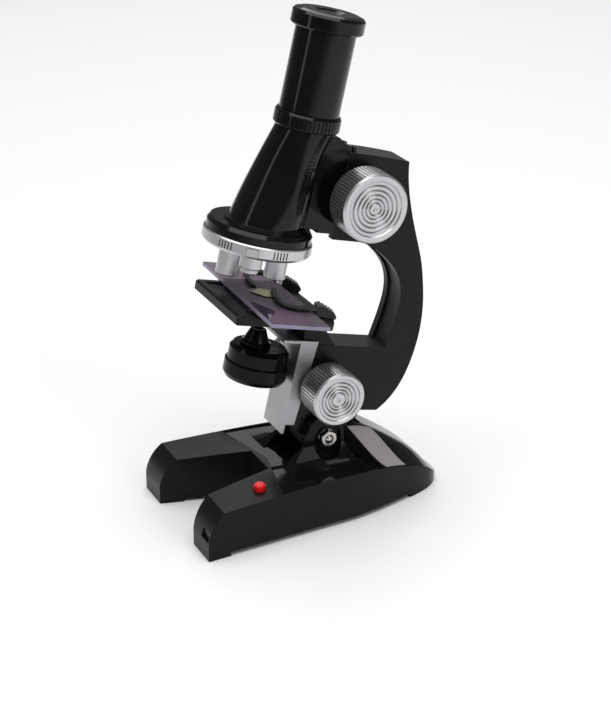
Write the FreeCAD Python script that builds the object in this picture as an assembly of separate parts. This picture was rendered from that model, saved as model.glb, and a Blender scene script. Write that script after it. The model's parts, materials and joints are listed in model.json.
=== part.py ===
"""Toy microscope: forked battery base, tilting C-shaped arm, rack-driven tube with a three-lens
turret, stage with clips and a specimen slide, and a lamp unit that rides on its own rack.

Everything is in millimetres with +Z up. The base stands on Z = 0, X = 0 is the symmetry plane and
the forked legs point to -Y. Whatever the arm carries is drawn upright in the arm's own frame
(X, V backwards, W along the tube, origin at the tilt bolt) and is leaned back by place_on_arm().
"""
import FreeCAD
import Part

import math
import os

V3 = FreeCAD.Vector
X_AXIS = V3(1, 0, 0)
Y_AXIS = V3(0, 1, 0)
Z_AXIS = V3(0, 0, 1)
ORIGIN = V3(0, 0, 0)

# ---------------------------------------------------------------- driving dimensions (mm)
TILT = 13.18                      # how far the arm leans back from upright, degrees
PIVOT = V3(0, 4.4, 32.2)          # centre of the tilt bolt
WALL = 2.0                        # moulded wall
RUN = 0.3                         # gap between parts that move past each other
FIT = 0.05                        # radial clearance of a shaft in its bearing

# base
BASE_FRONT = -61.2
BASE_REAR = 61.2
LEG_OUT = 36.0                    # half width over the leg tips
LEG_IN = 19.3                     # half width of the gap at the leg tips
GAP_IN = 9.2                      # half width of the gap at its back wall
GAP_BACK = -22.2
FOOT_RELIEF = 1.8
FRONT_FOOT = 10.2                 # length of the feet at the leg tips
REAR_FOOT_Y = 40.0
CHEEK_OUT = 12.0
CHEEK_IN = 8.15
CHEEK_R = 10.8
CHEEK_FRONT = -6.6
POCKET_FLOOR = 20.4
DECK_DROP = 0.8
SKIRT_OUT = 26.0                  # how far the flare at the foot of a cheek reaches
SKIRT_RISE = 8.2
NOSE_Y = 49.0                     # where the tail starts to round down
CAVITY_REAR = 54.3                # the tail is solid behind this
PLATE_LOW = 2.0
PLATE_THICK = 1.8
BAY_X = 18.0                      # half width of the battery bay
BAY_Y = (-18.5, 38.5)
AA_R = 7.2
AA_LENGTH = 50.0
BUTTON_XY = (24.0, -32.9)
BUTTON_R = 2.5
BUTTON_TRAVEL = 1.2

# arm
ARM_HALF = 7.8                    # half thickness
ARM_WALL = 1.8
TONGUE_R = 9.5
ARM_FRONT = -19.6
HEAD_FRONT = -16.6
HEAD_TOP = 123.4
LOWER_TOP = 40.5
GROOVE = 1.1                      # depth of the channel along the inside of the C
GROOVE_X = 4.3                    # its half width
ARM_SCREWS = [(6.4, 116.0), (27.6, 68.0), (28.0, 30.0), (8.0, 33.5)]

# optical train
OPTICAL_V = -35.4
TURRET_V = -46.6
OBJ_OFFSET = TURRET_V - OPTICAL_V
TURRET_R = 22.7
TURRET_LOW = 79.4
TURRET_TOP = 84.9
FLANGE_R = 21.9
FLANGE_LOW = 85.2
FLANGE_TOP = 89.6
CONE = [(130.6, 12.2, 0.0), (119.6, 12.35, 3.7), (108.0, 13.7, 6.1), (89.4, 15.45, 9.3)]  # W, radius, lean
CONE_TOP = CONE[0][0]
RING_R = 13.7
RING_TOP = 137.0
EYE_R = 12.4
EYE_SLEEVE_R = 8.5
EYE_SLEEVE_LOW = 126.5
CAP_R = 14.9
CAP_LOW = 170.8
CAP_TOP = 177.8

# focus drive
PITCH_R = 6.0                     # both pinions
TEETH = 15
MODULE = 2 * PITCH_R / TEETH
FOCUS_VW = (-10.7, 106.2)
LOWER_VW = (-6.2, 22.6)
SHAFT_R = 2.0
KNOB_R = 14.5
KNOB_X = (13.6, 27.0)
LOWER_KNOB_R = 11.7
LOWER_KNOB_X = (11.0, 25.2)
CARRIAGE_LOW = 89.2

# stage, clips and slide
STAGE_HALF = 22.7
STAGE_V = (-59.5, -15.0)
STAGE_LOW = 52.5
STAGE_TOP = 56.5
SLIDE_SIZE = (76.0, 26.0, 1.6)
SLIDE_LOW = 57.6
SLIDE_V = -37.9
SLIDE_TURN = -1.5                 # the slide lies a little askew, degrees
STAGE_HOLE_V = -36.6
SPECIMEN_V = -38.7
CLIP_XV = (17.0, -18.2)
CLIP_LEG_R = (3.7, 4.9)           # the clip's hooked leg, round its post

# lamp unit
LAMP_V = -35.0
SNOUT_V = -37.3
LAMP_W = 27.5                     # height of its flip pin
LAMP_LOW = 21.2
LAMP_TOP = 36.6
LAMP_R = 13.6
BRACKET_FRONT = -21.0
BRACKET_SHEET = 1.0
BRACKET_X = ARM_HALF + 0.25       # inner face of the side flanges
BRACKET_TOP = 42.3


# ---------------------------------------------------------------- shape helpers
def box(x0, x1, y0, y1, z0, z1):
    return Part.makeBox(x1 - x0, y1 - y0, z1 - z0, V3(x0, y0, z0))


def rod(radius, start, end):
    """Cylinder from one point to another."""
    along = end - start
    return Part.makeCylinder(radius, along.Length, start, along)


def rod_w(radius, v, w0, w1, x=0.0):
    return rod(radius, V3(x, v, w0), V3(x, v, w1))


def rod_x(radius, x0, x1, v, w):
    return rod(radius, V3(x0, v, w), V3(x1, v, w))


def polygon(points):
    return Part.makePolygon(points + [points[0]])


def prism_x(yz, x0, x1):
    """Closed outline in the Y-Z plane, pushed along X."""
    face = Part.Face(polygon([V3(x0, y, z) for y, z in yz]))
    return face.extrude(V3(x1 - x0, 0, 0))


def prism_z(xy, z0, z1):
    """Closed outline in the X-Y plane, pushed along Z."""
    face = Part.Face(polygon([V3(x, y, z0) for x, y in xy]))
    return face.extrude(V3(0, 0, z1 - z0))


def turned(profile, x, v):
    """Solid of revolution about the W axis through (x, v) from (radius, w) points."""
    face = Part.Face(polygon([V3(x + r, v, w) for r, w in profile]))
    return face.revolve(V3(x, v, 0), Z_AXIS, 360)


def turned_x(profile, v, w):
    """Solid of revolution about the X axis through (v, w) from (x, radius) points."""
    face = Part.Face(polygon([V3(x, v, w + r) for x, r in profile]))
    return face.revolve(V3(0, v, w), X_AXIS, 360)


def smooth(points):
    curve = Part.BSplineCurve()
    curve.interpolate(points)
    return curve.toShape()


def arc(a, b, c):
    return Part.Arc(a, b, c).toShape()


def line(a, b):
    return Part.LineSegment(a, b).toShape()


def face_of(edges):
    return Part.Face(Part.Wire(edges))


def inset_face(face, distance):
    """The face with its outline moved inwards, redrawn with plain lines and smooth curves."""
    edges = []
    for edge in face.makeOffset2D(-distance).OuterWire.OrderedEdges:
        points = edge.discretize(16)
        if edge.Curve.TypeId == "Part::GeomLine":
            edges.append(line(points[0], points[-1]))
        else:
            edges.append(smooth(points))
    return face_of(edges)


def mirror_x(shape):
    return shape.mirror(ORIGIN, X_AXIS)


def join(first, *others):
    shape = first
    for other in others:
        shape = shape.fuse(other)
    return shape.removeSplitter()


def group(*solids):
    return Part.Compound(list(solids))


def place_on_arm(shape):
    """Lean a shape drawn in the arm's upright frame back to its place in the world."""
    placed = shape.copy()
    placed.rotate(ORIGIN, X_AXIS, -TILT)
    placed.translate(PIVOT)
    return placed


def bevel_edges(shape, size, wanted):
    """Chamfer the edges for which wanted(edge) is true; a bare shape if none can be cut."""
    edges = [edge for edge in shape.Edges if wanted(edge)]
    if not edges:
        return shape
    return shape.makeChamfer(size, edges)


# ---------------------------------------------------------------- base
def base_plan(inset=0.0):
    """Plan of the forked base as a face at Z = 0."""
    tail = [(30.2, 9.0), (27.0, 24.0), (23.4, 36.0), (19.9, 46.5), (14.2, 55.6), (7.4, 60.0), (0.0, BASE_REAR)]
    right = [V3(x, y, 0) for x, y in tail]
    left = [V3(-x, y, 0) for x, y in reversed(tail[:-1])]
    tip_out = V3(LEG_OUT, BASE_FRONT, 0)
    tip_in = V3(LEG_IN, BASE_FRONT, 0)
    gap = V3(GAP_IN, GAP_BACK, 0)
    flip = [V3(-p.x, p.y, 0) for p in (tip_out, tip_in, gap)]
    edges = [
        line(tip_in, tip_out),
        line(tip_out, right[0]),
        smooth(right + left),
        line(left[-1], flip[0]),
        line(flip[0], flip[1]),
        line(flip[1], flip[2]),
        line(flip[2], gap),
        line(gap, tip_in),
    ]
    face = face_of(edges)
    return inset_face(face, inset) if inset else face


def nose_drop(y):
    """Extra fall of the top surface towards the tip of the tail."""
    return 0.33 * max(y - NOSE_Y, 0.0)


def wall_top(y):
    """Height of the side wall's top edge along the base."""
    if y < 0:
        return 22.2 - 1.4 * (y / 50.0) ** 2
    return 22.2 - 16.3 * (y / 60.0) ** 2.1 - nose_drop(y)


def ridge_top(y):
    """Height of the hump's ridge behind the tilt joint."""
    along = (y - 12.0) / 50.0
    return 38.6 - 23.0 * along - 12.0 * along ** 2 - nose_drop(y)


def base_side(drop=0.0):
    """Side view of the base body, pushed over its whole width and lowered by drop; open below Z = 0."""
    half = LEG_OUT + 4
    top = [V3(-half, y, wall_top(y) - drop) for y in (-53.6, -40, -20, 0, 12, 24, 36, 47, 55, BASE_REAR + 2)]
    toe = BASE_FRONT - 0.1 + min(drop, WALL)
    toe_low = V3(-half, toe, -9.0)
    toe_mid = V3(-half, toe, 6.0)
    toe_bend = V3(-half, toe + 2.0, 14.0 - drop / 2)
    tail_low = V3(-half, BASE_REAR + 2, -9.0)
    edges = [
        line(toe_low, toe_mid),
        arc(toe_mid, toe_bend, top[0]),
        smooth(top),
        line(top[-1], tail_low),
        line(tail_low, toe_low),
    ]
    return face_of(edges).extrude(V3(2 * half, 0, 0))


def hump_skin(drop=0.0):
    """Solid under the hump's smooth flared surface, down to Z = 0."""
    stations = [-8 + 6.0 * i for i in range(13)]
    across = [-42 + 3.5 * i for i in range(25)]
    rows = []
    for y in stations:
        low = max(wall_top(max(y, 0)), 0.6) - 0.15
        high = max(ridge_top(max(y, 4.0)), low)
        half = max(31.0 - 0.0035 * max(y, 0) ** 2, 16.0)
        row = []
        for x in across:
            u = min(max((abs(x) / half - 0.25) / 0.72, 0.0), 1.0)
            swell = 1.0 - u * u * (3.0 - 2.0 * u)
            row.append(V3(x, y, low + (high - low) * swell - drop))
        rows.append(row)
    surface = Part.BSplineSurface()
    surface.interpolate(rows)
    block = surface.toShape().extrude(V3(0, 0, -60))
    return block.common(box(-42, 42, -8, 64, 0, 60))


def skirt():
    """Concave flare from the foot of the +X cheek to the deck, cut off by a sloping face in front."""
    stations = [-20 + 5.0 * i for i in range(11)]
    across = [10.0 + 1.0 * i for i in range(int(SKIRT_OUT - 10.0) + 1)]
    rows = []
    for y in stations:
        deck = wall_top(max(y, 0)) - DECK_DROP
        rows.append([V3(x, y, deck + SKIRT_RISE * ((SKIRT_OUT - x) / (SKIRT_OUT - CHEEK_OUT)) ** 4) for x in across])
    surface = Part.BSplineSurface()
    surface.interpolate(rows)
    block = surface.toShape().extrude(V3(0, 0, -20))
    side = [(-15.8, 20.6), (-15.8, 21.2), (-6.6, 29.8), (24.0, 29.8), (24.0, 18.0), (0.0, 19.4)]
    return block.common(prism_x(side, CHEEK_OUT - 1.5, SKIRT_OUT - 0.2))


def hump_plan():
    """The hump's footprint: cheek-wide at the bolt, spreading to the walls behind it."""
    spread = BASE_REAR + 1
    right = [(CHEEK_OUT, -4.0), (CHEEK_OUT, 12.2), (32.0, 30.8), (32.0, spread)]
    left = [(-x, y) for x, y in reversed(right)]
    return prism_z(right + left, 0, 60)


def cheek_block():
    """Both cheeks round the tilt bolt, before the arm's pocket is cut."""
    y, z = PIVOT.y, PIVOT.z
    front_top = V3(0, CHEEK_FRONT, z + 2.0)
    crown = V3(0, y, z + CHEEK_R)
    rear = V3(0, y + CHEEK_R * math.cos(0.6), z + CHEEK_R * math.sin(0.6))
    shoulder_angle = math.radians(125)
    shoulder = V3(0, y + CHEEK_R * math.cos(shoulder_angle), z + CHEEK_R * math.sin(shoulder_angle))
    edges = [
        line(V3(0, CHEEK_FRONT, 5), front_top),
        line(front_top, shoulder),
        arc(shoulder, crown, rear),
        line(rear, V3(0, 15.5, 5)),
        line(V3(0, 15.5, 5), V3(0, CHEEK_FRONT, 5)),
    ]
    face = face_of(edges)
    face.translate(V3(-CHEEK_OUT, 0, 0))
    return face.extrude(V3(2 * CHEEK_OUT, 0, 0))


def arm_pocket():
    """Room for the arm's tongue to lean back between the cheeks."""
    outline = [(-10.0, POCKET_FLOOR), (8.9, POCKET_FLOOR), (10.9, 23.9), (24.8, 34.2), (24.8, 60.0), (-10.0, 60.0)]
    apron = rod(12.5, V3(0, -1.0, POCKET_FLOOR), V3(0, -1.0, 60)).common(box(-CHEEK_IN, CHEEK_IN, -20, 0, 0, 60))
    return join(prism_x(outline, -CHEEK_IN, CHEEK_IN), apron)


def deck_recess():
    """Shallow glossy deck beside the hump, inside the rim of the side wall."""
    side = [(CHEEK_IN + 0.4, -20.6), (33.0, -26.0), (28.9, 8.4), (26.6, 24.0), (CHEEK_OUT, 12.2)]
    plan = prism_z(side, 10, 60)
    return join(plan, mirror_x(plan)).cut(base_side(DECK_DROP))


def nut_recess(side):
    """Well on the outside of a cheek, for the nut or the bolt head."""
    depth = 1.6
    low, high = PIVOT.z - 3.2, PIVOT.z
    inner = side * (CHEEK_OUT - depth)
    outer = side * (CHEEK_OUT + 4)
    x0, x1 = min(inner, outer), max(inner, outer)
    return join(
        rod_x(6.2, x0, x1, PIVOT.y, low),
        rod_x(6.2, x0, x1, PIVOT.y, high),
        box(x0, x1, PIVOT.y - 6.2, PIVOT.y + 6.2, low, high),
    )


def tip_notch():
    """Small slot in the front face of the +X leg's tip."""
    return box(28.2, LEG_OUT - 0.7, BASE_FRONT - 1, BASE_FRONT + 1.3, 8.4, 12.4)


SCREW_POSTS = [(27.5, -49.0), (-27.5, -49.0), (23.8, 12.0), (-23.8, 12.0), (0.0, 46.5)]


def make_base_shell():
    plan = base_plan().extrude(V3(0, 0, 70))
    body = base_side().common(plan)
    body = body.cut(deck_recess())
    hump = hump_skin().common(hump_plan()).common(plan)
    outside = body.fuse(hump).fuse(cheek_block()).fuse(skirt()).fuse(mirror_x(skirt()))
    inside_plan = base_plan(WALL).extrude(V3(0, 0, 70)).common(box(-60, 60, -70, CAVITY_REAR, 0, 70))
    cavity = base_side(WALL + DECK_DROP).common(inside_plan)
    hump_room = hump_skin(WALL + 0.4).common(inside_plan).common(box(-26, 26, 29.5, CAVITY_REAR, 0, 60))
    shell = outside.cut(arm_pocket()).cut(cavity.common(box(-60, 60, -70, 70, -1, POCKET_FLOOR - 1.7)))
    shell = shell.cut(hump_room).cut(box(-15.6, 15.6, 14.0, 30.0, 0, 18.8))
    shell = shell.cut(nut_recess(1)).cut(nut_recess(-1)).cut(tip_notch())
    shell = shell.cut(rod_x(2.15, -20, 20, PIVOT.y, PIVOT.z))
    shell = shell.cut(box(-60, 60, BASE_FRONT + FRONT_FOOT, REAR_FOOT_Y, -1, FOOT_RELIEF))
    bx, by = BUTTON_XY
    shell = shell.cut(rod(BUTTON_R + RUN, V3(bx, by, 10), V3(bx, by, 30)))
    posts = [rod(3.0, V3(x, y, PLATE_LOW + PLATE_THICK), V3(x, y, post_top(x, y))) for x, y in SCREW_POSTS]
    holes = [rod(1.1, V3(x, y, 0), V3(x, y, 12.6)) for x, y in SCREW_POSTS]
    shell = join(shell, *posts)
    for hole in holes:
        shell = shell.cut(hole)
    return shell


def post_top(x, y):
    if x == 0:
        return ridge_top(y + 3.0) - 1.0
    return min(wall_top(y), POCKET_FLOOR) - 1.5


def make_base_bottom_plate():
    low, high = PLATE_LOW, PLATE_LOW + PLATE_THICK
    plate = base_plan(WALL + 0.25).extrude(V3(0, 0, PLATE_THICK))
    plate.translate(V3(0, 0, low))
    plate = plate.common(box(-60, 60, -70, CAVITY_REAR - 0.3, 0, 10))
    bay_x, (bay_front, bay_rear) = BAY_X, BAY_Y
    wall_high = high + 10.0
    bay = box(-bay_x - 1.5, bay_x + 1.5, bay_front - 1.5, bay_rear + 1.5, high, wall_high)
    bay = bay.cut(box(-bay_x, bay_x, bay_front, bay_rear, high - 1, wall_high + 1))
    divider = box(-0.5, 0.5, bay_front, bay_rear, high + 0.1, high + 7.0)
    screw_y = bay_rear - 4.5
    boss = rod(1.9, V3(0, screw_y, low + 1.65), V3(0, screw_y, 7.4))
    plate = join(plate.cut(box(-bay_x, bay_x, bay_front, bay_rear, 0, high + 1)), bay, divider, boss)
    plate = plate.cut(rod(1.2, V3(0, screw_y, 0), V3(0, screw_y, 20)))
    for x, y in SCREW_POSTS:
        plate = plate.cut(rod(1.5, V3(x, y, 0), V3(x, y, 10)))
        plate = plate.cut(rod(3.0, V3(x, y, 0), V3(x, y, low + 0.7)))
    return plate


def screw_up(x, y, z, length, head_r=2.7, shank_r=1.1):
    """Pan head screw pointing up, with a cross recess in its head."""
    head = rod(head_r, V3(x, y, z), V3(x, y, z + 1.2))
    shank = rod(shank_r, V3(x, y, z + 1.2), V3(x, y, z + length))
    slot = box(x - 1.5, x + 1.5, y - 0.3, y + 0.3, z - 1, z + 0.6)
    cross = box(x - 0.3, x + 0.3, y - 1.5, y + 1.5, z - 1, z + 0.6)
    return join(head, shank).cut(slot).cut(cross)


def make_base_screws():
    return group(*[screw_up(x, y, PLATE_LOW - 0.6 + 0.1, 10.5) for x, y in SCREW_POSTS])


def make_battery_door():
    bay_front, bay_rear = BAY_Y
    low = PLATE_LOW + 0.1
    door = box(-BAY_X + 0.3, BAY_X - 0.3, bay_front + 0.3, bay_rear - 0.3, low, low + 1.5)
    for i in range(6):
        y = bay_front + 6.0 + 1.6 * i
        door = door.cut(box(-7, 7, y, y + 0.7, 0, low + 0.5))
    return door.cut(rod(1.5, V3(0, bay_rear - 4.5, 0), V3(0, bay_rear - 4.5, 9)))


def make_battery_door_screw():
    return screw_up(0, BAY_Y[1] - 4.5, PLATE_LOW - 1.2, 6.5, 2.3, 1.2)


def battery(x, flip):
    z = PLATE_LOW + PLATE_THICK + 0.2 + AA_R
    y0 = 10.0 - AA_LENGTH / 2
    y1 = y0 + AA_LENGTH - 1.4
    cell = join(rod(AA_R, V3(x, y0, z), V3(x, y1, z)), rod(2.7, V3(x, y1, z), V3(x, y1 + 1.4, z)))
    if flip:
        cell.rotate(V3(x, 10.0, z), Z_AXIS, 180)
    return cell


def make_battery_contacts():
    """Sprung contact plates at the ends of the bay, each with a bowed leaf towards its cell."""
    z0 = PLATE_LOW + PLATE_THICK + 1.2
    contacts = []
    for wall, inward in ((BAY_Y[0] + 0.1, 1), (BAY_Y[1] - 0.1, -1)):
        y0, y1 = sorted((wall, wall + inward * 0.4))
        bow = [(wall + inward * 0.3, z0 + 0.4), (wall + inward * 3.1, z0 + 4.2), (wall + inward * 3.1, z0 + 5.2),
               (wall + inward * 0.3, z0 + 8.6), (wall + inward * 0.3, z0 + 8.0), (wall + inward * 2.7, z0 + 4.9),
               (wall + inward * 2.7, z0 + 4.5), (wall + inward * 0.3, z0 + 1.0)]
        for x in (-8.0, 8.0):
            contacts.append(join(box(x - 5.5, x + 5.5, y0, y1, z0, z0 + 8.8), prism_x(bow, x - 2.5, x + 2.5)))
    return group(*contacts)


def make_switch_body():
    bx, by = BUTTON_XY
    return box(bx - 3.2, bx + 3.2, by - 3.2, by + 3.2, 13.0, 16.3)


def make_switch_board():
    bx, by = BUTTON_XY
    return box(bx - 6.0, bx + 5.0, by - 7.0, by + 7.0, 11.6, 12.95)


def make_switch_button():
    bx, by = BUTTON_XY
    top = wall_top(by) + 2.6
    cap = rod(BUTTON_R, V3(bx, by, 18.6), V3(bx, by, top))
    cap = bevel_edges(cap, 0.5, lambda e: abs(e.BoundBox.ZMin - top) < 0.01)
    return join(cap, rod(BUTTON_R + 1.2, V3(bx, by, 17.4 + BUTTON_TRAVEL - 1.0), V3(bx, by, 18.6)))


def make_label_plate():
    """Blank rating label wrapped on the hump's near rear flank."""
    strip = prism_z([(12.6, 13.5), (27.0, 27.2), (24.8, 38.8), (8.8, 26.2)], 0, 60)
    skin = hump_skin(-0.35).cut(hump_skin(-0.05))
    return skin.common(strip).common(base_plan(0.6).extrude(V3(0, 0, 60))).cut(base_side(-0.05))


# ---------------------------------------------------------------- tilt joint
def hexagon(radius, x0, x1, v, w):
    points = [(v + radius * math.cos(math.radians(a)), w + radius * math.sin(math.radians(a)))
              for a in range(30, 390, 60)]
    return prism_x(points, x0, x1)


def make_tilt_bolt():
    x0 = -CHEEK_OUT + 0.4
    y, z = PIVOT.y, PIVOT.z
    shank = rod_x(2.0, x0, 13.2, y, z)
    end = turned_x([(13.2, 0), (13.2, 2.0), (13.9, 1.6), (14.3, 0.9), (14.4, 0)], y, z)
    head = turned_x([(x0 - 2.2, 0), (x0 - 2.2, 1.8), (x0 - 1.5, 3.2), (x0, 3.8), (x0, 0)], y, z)
    return join(shank, end, head)


def make_tilt_nut():
    x0 = CHEEK_OUT - 1.1
    y, z = PIVOT.y, PIVOT.z
    nut = hexagon(3.9, x0, x0 + 2.9, y, z)
    cone = turned_x([(x0, 0), (x0, 4.1), (x0 + 2.3, 4.1), (x0 + 2.9, 3.3), (x0 + 2.9, 0)], y, z)
    return nut.common(cone).cut(rod_x(2.0, 0, 20, y, z))


def make_tilt_washers():
    y, z = PIVOT.y, PIVOT.z
    rings = []
    for low, high in ((CHEEK_OUT - 1.6, CHEEK_OUT - 1.1), (-CHEEK_OUT + 0.4, -CHEEK_OUT + 1.6)):
        rings.append(rod_x(3.7, low, high, y, z).cut(rod_x(2.05, low - 1, high + 1, y, z)))
    return group(*rings)


# ---------------------------------------------------------------- arm (arm frame)
def arm_outline(groove=0.0):
    """Side view of the arm; groove pulls the inner edge of the C back into the arm."""
    head_front = V3(0, HEAD_FRONT, HEAD_TOP + 0.3)
    head_back = V3(0, 11.4, HEAD_TOP - 0.9)
    back = [(11.4, HEAD_TOP - 0.9), (13.6, 113.1), (16.7, 104.8), (20.5, 96.3), (24.8, 87.8), (28.4, 80.3),
            (31.3, 72.2), (33.8, 63.4), (35.3, 54.5), (35.7, 45.2), (34.9, 35.8), (32.8, 26.6), (29.4, 19.0),
            (23.4, 11.7)]
    low_back = V3(0, 23.4, 11.7)
    low_front = V3(0, 15.3, 11.5)
    reach = math.hypot(low_front.y, low_front.z)
    touch = math.atan2(low_front.z, low_front.y) - math.acos(TONGUE_R / reach)
    tongue_rear = V3(0, TONGUE_R * math.cos(touch), TONGUE_R * math.sin(touch))
    tongue_low = V3(0, 0, -TONGUE_R)
    leave = math.radians(190)
    tongue_front = V3(0, TONGUE_R * math.cos(leave), TONGUE_R * math.sin(leave))
    chin = V3(0, ARM_FRONT, 6.0)
    brow = V3(0, ARM_FRONT, LOWER_TOP)
    seat = V3(0, 20.4 + groove, LOWER_TOP)
    inner = [(20.4 + groove, LOWER_TOP), (21.7 + groove, 49.0), (22.5 + groove, 57.1),
             (22.0 + groove, 65.4), (18.6 + groove * 0.8, 73.3 + groove * 0.6),
             (10.7 + groove * 0.5, 80.6 + groove * 0.9), (-0.8, 86.1 + groove), (-4.0, 86.6 + groove)]
    jaw = V3(0, HEAD_FRONT, 86.8 + groove)
    edges = [
        arc(head_front, V3(0, -2.6, HEAD_TOP + 0.1), head_back),
        smooth([V3(0, v, w) for v, w in back]),
        line(low_back, low_front),
        line(low_front, tongue_rear),
        arc(tongue_rear, tongue_low, tongue_front),
        line(tongue_front, chin),
        line(chin, brow),
        line(brow, seat),
        smooth([V3(0, v, w) for v, w in inner]),
        line(V3(0, -4.0, 86.6 + groove), jaw),
        line(jaw, head_front),
    ]
    return face_of(edges)


def arm_half():
    """The +X half of the arm, hollow, with its seam on X = 0."""
    full = arm_outline().extrude(V3(ARM_HALF, 0, 0))
    sunk = arm_outline(GROOVE).extrude(V3(GROOVE_X, 0, 0))
    rim_zone = box(-1, GROOVE_X, HEAD_FRONT - 5, 40, 60, 150).fuse(box(-1, GROOVE_X, -3, 40, LOWER_TOP - 1, 150))
    half = full.cut(full.cut(sunk).common(rim_zone))
    hollow = inset_face(arm_outline(GROOVE), ARM_WALL)
    cavity = hollow.extrude(V3(ARM_HALF - ARM_WALL, 0, 0))
    half = half.cut(cavity)
    fv, fw = FOCUS_VW
    lv, lw = LOWER_VW
    wall_in = ARM_HALF - ARM_WALL
    bosses = [rod_x(2.9, 0, wall_in, v, w) for v, w in ARM_SCREWS]
    bosses.append(rod_x(5.2, 0, wall_in, 0, 0))
    bosses.append(rod_x(4.2, 3.2, wall_in, lv, lw))
    half = join(half, *bosses)
    # slot for the carriage hooks in the head's front wall, open at both ends
    half = half.cut(box(-1, 4.2, HEAD_FRONT - 1, -12.6, 80, 140))
    half = half.cut(box(-1, 5.9, -15.0, -12.6, 80, 140))
    # slot for the lamp rack in the lower front wall
    half = half.cut(box(-1, 3.0, ARM_FRONT - 1, -10.5, 2.5, LOWER_TOP - 1.0))
    for v, w, radius in ((fv, fw, SHAFT_R + FIT), (lv, lw, SHAFT_R + FIT), (0, 0, 2.1)):
        half = half.cut(rod_x(radius, -1, 12, v, w))
    return half


def make_arm_half_right():
    half = arm_half()
    for v, w in ARM_SCREWS:
        half = half.cut(rod_x(1.1, -1, ARM_HALF - ARM_WALL - 0.4, v, w))
    return place_on_arm(half)


def make_arm_half_left():
    half = mirror_x(arm_half())
    for v, w in ARM_SCREWS:
        half = half.cut(rod_x(1.35, -ARM_HALF - 1, 1, v, w))
        half = half.cut(rod_x(2.4, -ARM_HALF - 1, -ARM_HALF + 1.7, v, w))
    return place_on_arm(half)


def screw_along_x(x_head, length, v, w, head_r=2.3, shank_r=1.1):
    """Pan head screw with its head at x_head, pointing to +X."""
    head = rod_x(head_r, x_head, x_head + 1.4, v, w)
    shank = rod_x(shank_r, x_head + 1.4, x_head + length, v, w)
    slot = box(x_head - 1, x_head + 0.6, v - 1.4, v + 1.4, w - 0.3, w + 0.3)
    cross = box(x_head - 1, x_head + 0.6, v - 0.3, v + 0.3, w - 1.4, w + 1.4)
    return join(head, shank).cut(slot).cut(cross)


def make_arm_screws():
    screws = [screw_along_x(-ARM_HALF + 0.2, 12.0, v, w) for v, w in ARM_SCREWS]
    return place_on_arm(group(*screws))


def make_stage_support():
    """Wedge that carries the stage on the arm's lower front."""
    outline = [(ARM_FRONT, LOWER_TOP + 0.05), (-4.1, LOWER_TOP + 0.05), (-14.4, STAGE_LOW - 0.05),
               (-29.0, STAGE_LOW - 0.05), (-29.0, 50.7), (ARM_FRONT, 50.0)]
    block = prism_x(outline, -ARM_HALF, ARM_HALF)
    block = block.cut(box(-5.4, 5.4, -17.4, -9.0, LOWER_TOP - 1, 47.0))
    for x in (-4.6, 4.6):
        block = block.cut(rod_w(1.0, -23.0, 45, 60, x))
    return place_on_arm(block)


def make_stage_plate():
    v0, v1 = STAGE_V
    plate = box(-STAGE_HALF, STAGE_HALF, v0, v1, STAGE_LOW, STAGE_TOP)
    upright = [e for e in plate.Edges if e.BoundBox.ZLength > 3]
    plate = plate.makeFillet(1.2, upright)
    plate = bevel_edges(plate, 0.8, lambda e: e.BoundBox.ZMin > STAGE_TOP - 0.01)
    ribs = [box(x - 1.2, x + 1.2, -53.0, -28.0, STAGE_TOP - 0.5, SLIDE_LOW - 0.08) for x in (-17.5, 17.5)]
    plate = join(plate, *ribs)
    plate = plate.cut(rod_w(5.0, STAGE_HOLE_V, STAGE_LOW - 1, STAGE_TOP + 3))
    cone = Part.makeCone(5.0, 6.6, 1.7, V3(0, STAGE_HOLE_V, STAGE_TOP - 1.6), Z_AXIS)
    plate = plate.cut(cone)
    notch = prism_z([(-19.4, -56.6), (-2.0, -56.6), (-19.4, -47.0)], STAGE_TOP - 0.7, STAGE_TOP + 1)
    plate = plate.cut(notch)
    for x in (-4.6, 4.6):
        plate = plate.cut(rod_w(1.35, -23.0, 45, 60, x))
        plate = plate.cut(rod_w(2.5, -23.0, STAGE_TOP - 1.5, 60, x))
    cx, cv = CLIP_XV
    race = ring_sector(CLIP_LEG_R[0] - RUN, CLIP_LEG_R[1] + RUN, 40, 172, cx, cv, STAGE_LOW - 1, STAGE_TOP + 1)
    post_hole = rod_w(1.5 + FIT, cv, 45, 60, cx)
    for cut in (race, mirror_x(race), post_hole, mirror_x(post_hole)):
        plate = plate.cut(cut)
    # underside weight-saving pockets either side of the support
    for side in (-1, 1):
        x0, x1 = sorted((side * 9.6, side * 20.6))
        plate = plate.cut(box(x0, x1, v0 + 2.4, -24.0, STAGE_LOW - 1, STAGE_TOP - 2.2))
    return place_on_arm(plate)


def make_stage_screws():
    screws = []
    for x in (-4.6, 4.6):
        head = rod_w(2.3, -23.0, STAGE_TOP - 1.4, STAGE_TOP - 0.2, x)
        shank = rod_w(1.0, -23.0, 51.0, STAGE_TOP - 1.4, x)
        slot = box(x - 1.5, x + 1.5, -23.3, -22.7, STAGE_TOP - 0.8, STAGE_TOP + 1)
        screws.append(join(head, shank).cut(slot))
    return place_on_arm(group(*screws))


def ring_sector(r_in, r_out, start, end, x, v, w0, w1):
    """Part of an upright ring round (x, v), from one angle to another counted from +X towards +V."""
    def at(radius, angle):
        a = math.radians(angle)
        return V3(x + radius * math.cos(a), v + radius * math.sin(a), w0)
    middle = (start + end) / 2
    edges = [
        arc(at(r_out, start), at(r_out, middle), at(r_out, end)),
        line(at(r_out, end), at(r_in, end)),
        arc(at(r_in, end), at(r_in, middle), at(r_in, start)),
        line(at(r_in, start), at(r_out, start)),
    ]
    return face_of(edges).extrude(V3(0, 0, w1 - w0))


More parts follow.
